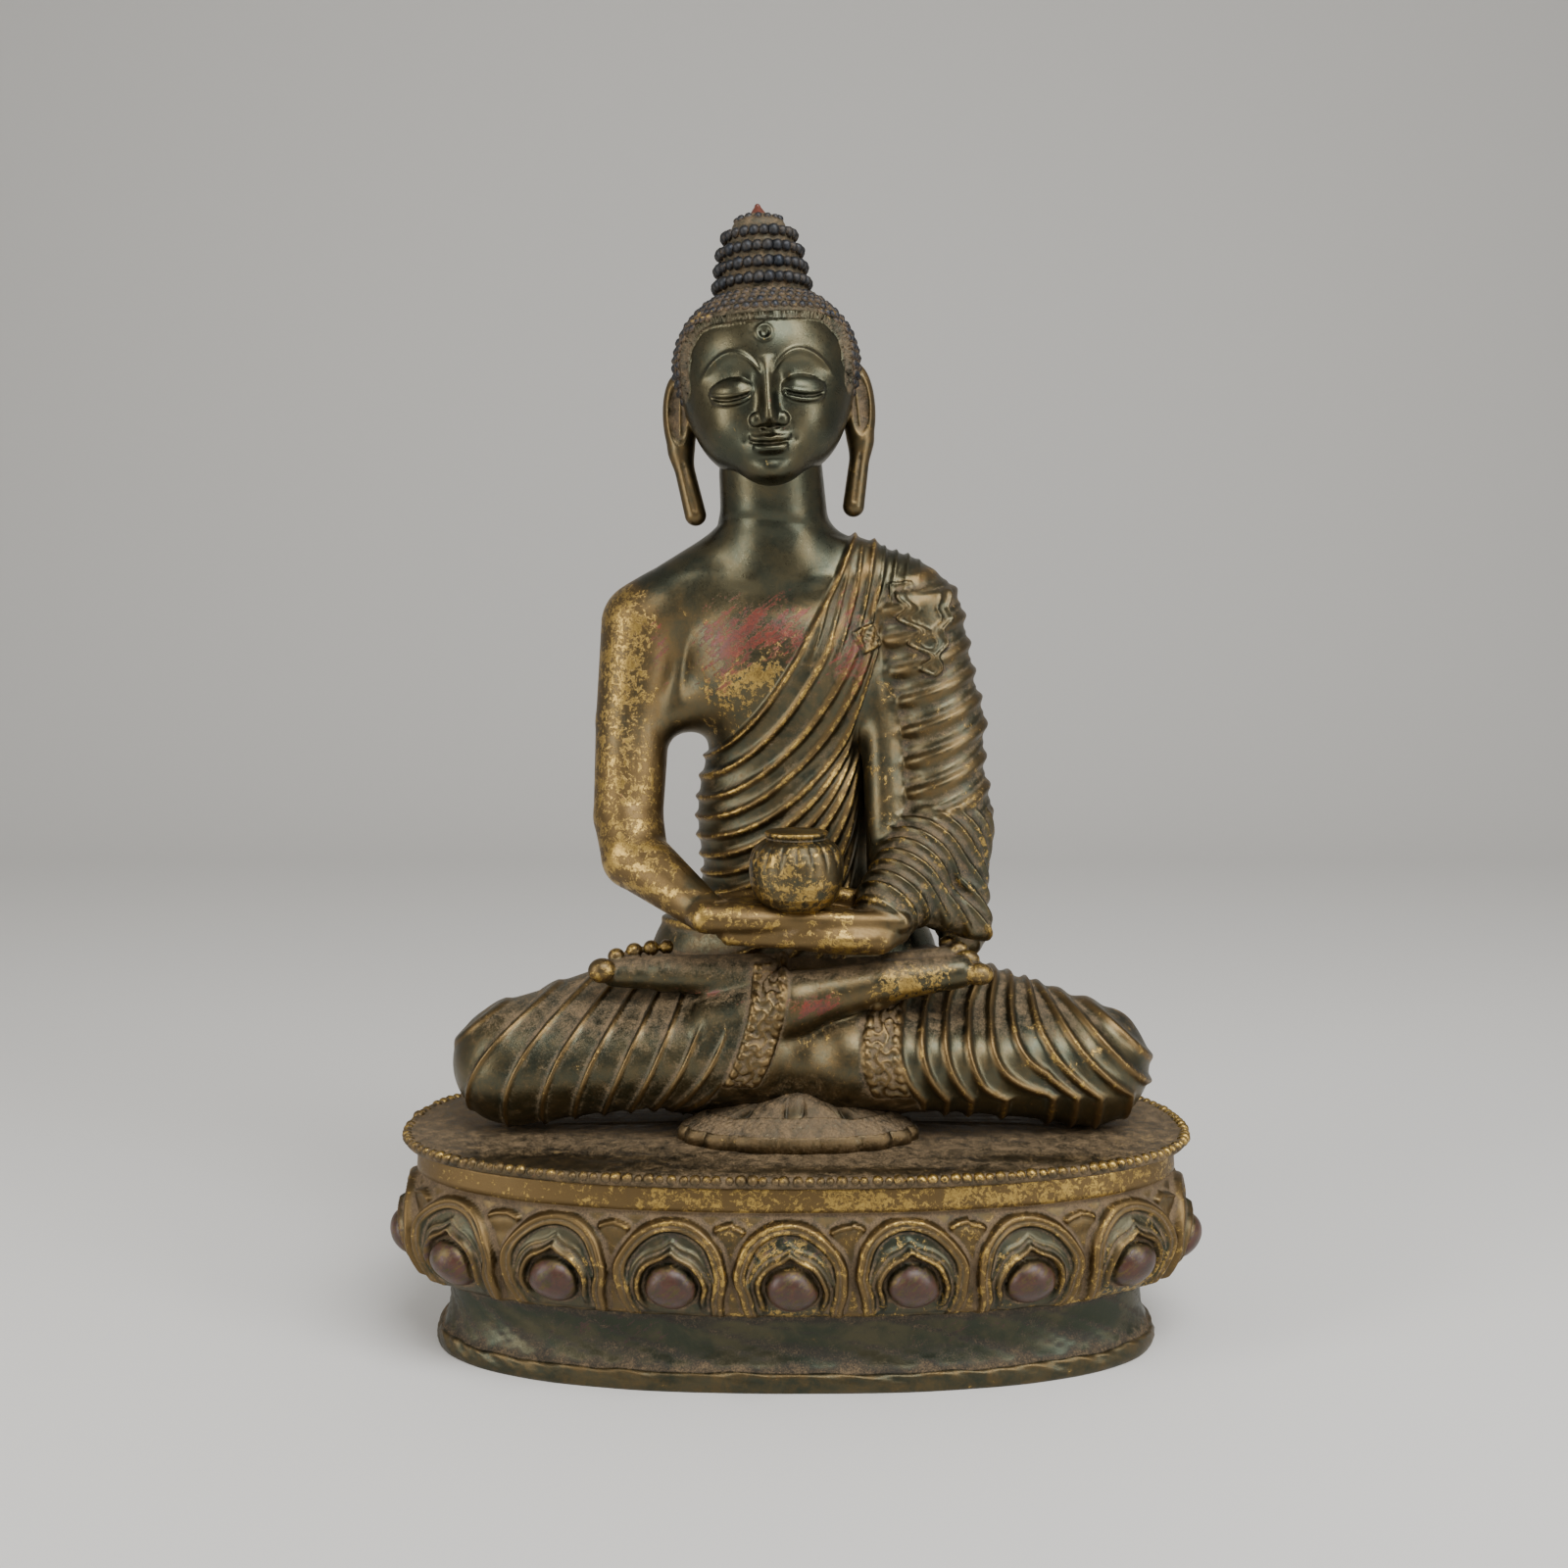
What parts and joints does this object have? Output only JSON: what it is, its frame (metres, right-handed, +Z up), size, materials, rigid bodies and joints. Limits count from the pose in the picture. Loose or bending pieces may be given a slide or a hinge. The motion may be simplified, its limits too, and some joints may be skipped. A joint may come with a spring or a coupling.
{
  "type": "medicine buddha statue",
  "caption": "Seated buddha in meditation pose holding a medicine jar, cast gilt bronze, on an oval lotus pedestal with a plain foot.",
  "frame": {"origin": "middle of the underside of the pedestal's foot", "axes": "+Z up, the figure faces -Y, +X towards the figure's left hand"},
  "size_m": [0.2175, 0.1142, 0.3004],
  "materials": {
    "figure_bronze": "dark cast bronze with worn fire gilding, red lacquer traces and brown dust in the folds",
    "pedestal_bronze": "dark cast bronze with worn gilding on the petals, red-brown lacquer on their bosses and dusty hollows"
  },
  "bodies": {
    "root": {"seated_figure": "figure_bronze", "lotus_pedestal": "pedestal_bronze"}
  },
  "joints": []
}
